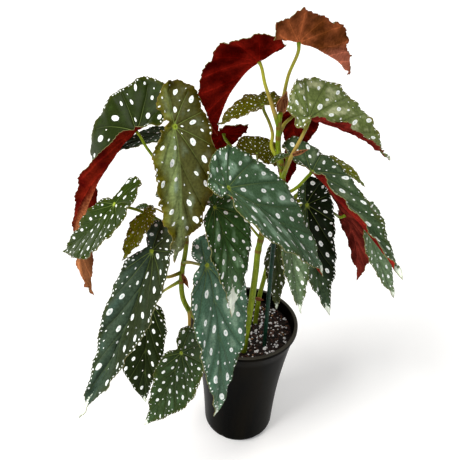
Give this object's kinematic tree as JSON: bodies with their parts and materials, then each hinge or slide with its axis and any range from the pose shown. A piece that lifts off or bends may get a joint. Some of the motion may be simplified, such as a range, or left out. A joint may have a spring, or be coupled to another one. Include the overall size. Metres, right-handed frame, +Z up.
{
  "type": "potted begonia",
  "caption": "Potted cane begonia: white-spotted angel-wing leaves with maroon undersides hang from green canes in a tall black nursery pot, beside a green plant stake.",
  "frame": {"origin": "the middle of the pot's flat foot, where it meets the table", "axes": "+Z up along the pot's axis; -Y towards the viewer of the picture; +X to the viewer's right"},
  "size_m": [0.3514, 0.2132, 0.5343],
  "materials": {
    "pot_plastic": "satin black, a little scuffed",
    "soil_brown": "dark crumbly bark mix with white perlite",
    "stake_green": "dark green plastic coating",
    "stem_green": "fresh green cane, satin",
    "sheath_brown": "dry papery brown",
    "leaf_green": "satin dark green with white spots, maroon below",
    "leaf_olive": "satin olive green with pale spots, rust below",
    "leaf_maroon": "satin maroon underside"
  },
  "bodies": {
    "root": {"pot": "pot_plastic", "potting_mix": "soil_brown", "stake": "stake_green", "stem_main": "stem_green", "stem_left": "stem_green", "stem_back": "stem_green", "sheath_top": "sheath_brown", "stipule_pink": "sheath_brown", "stipule_left": "sheath_brown", "stipule_back": "sheath_brown", "leaf_left_long": "leaf_green", "leaf_centre_left": "leaf_green", "leaf_left_side": "leaf_green", "leaf_low_left": "leaf_green", "leaf_low_inner": "leaf_green", "leaf_low_front": "leaf_green", "leaf_pot_front": "leaf_green", "leaf_centre_dark": "leaf_green", "leaf_centre_front": "leaf_green", "leaf_right_inner": "leaf_green", "leaf_right_small": "leaf_green", "leaf_right_narrow": "leaf_green", "leaf_right_long": "leaf_green", "leaf_upper_right": "leaf_green", "leaf_right_hanging": "leaf_green", "leaf_right_far": "leaf_green", "leaf_left_behind": "leaf_green", "leaf_mid_bud": "leaf_green", "leaf_left_bud": "leaf_green", "leaf_left_bud_upper": "leaf_green", "leaf_centre_bud": "leaf_green", "leaf_right_olive": "leaf_olive", "leaf_upper_young": "leaf_olive", "leaf_mid_young": "leaf_olive", "leaf_left_young": "leaf_olive", "leaf_top": "leaf_maroon", "leaf_top_red": "leaf_maroon", "leaf_upper_red": "leaf_maroon", "leaf_mid_red": "leaf_maroon", "leaf_mid_crinkled": "leaf_maroon"}
  },
  "joints": []
}
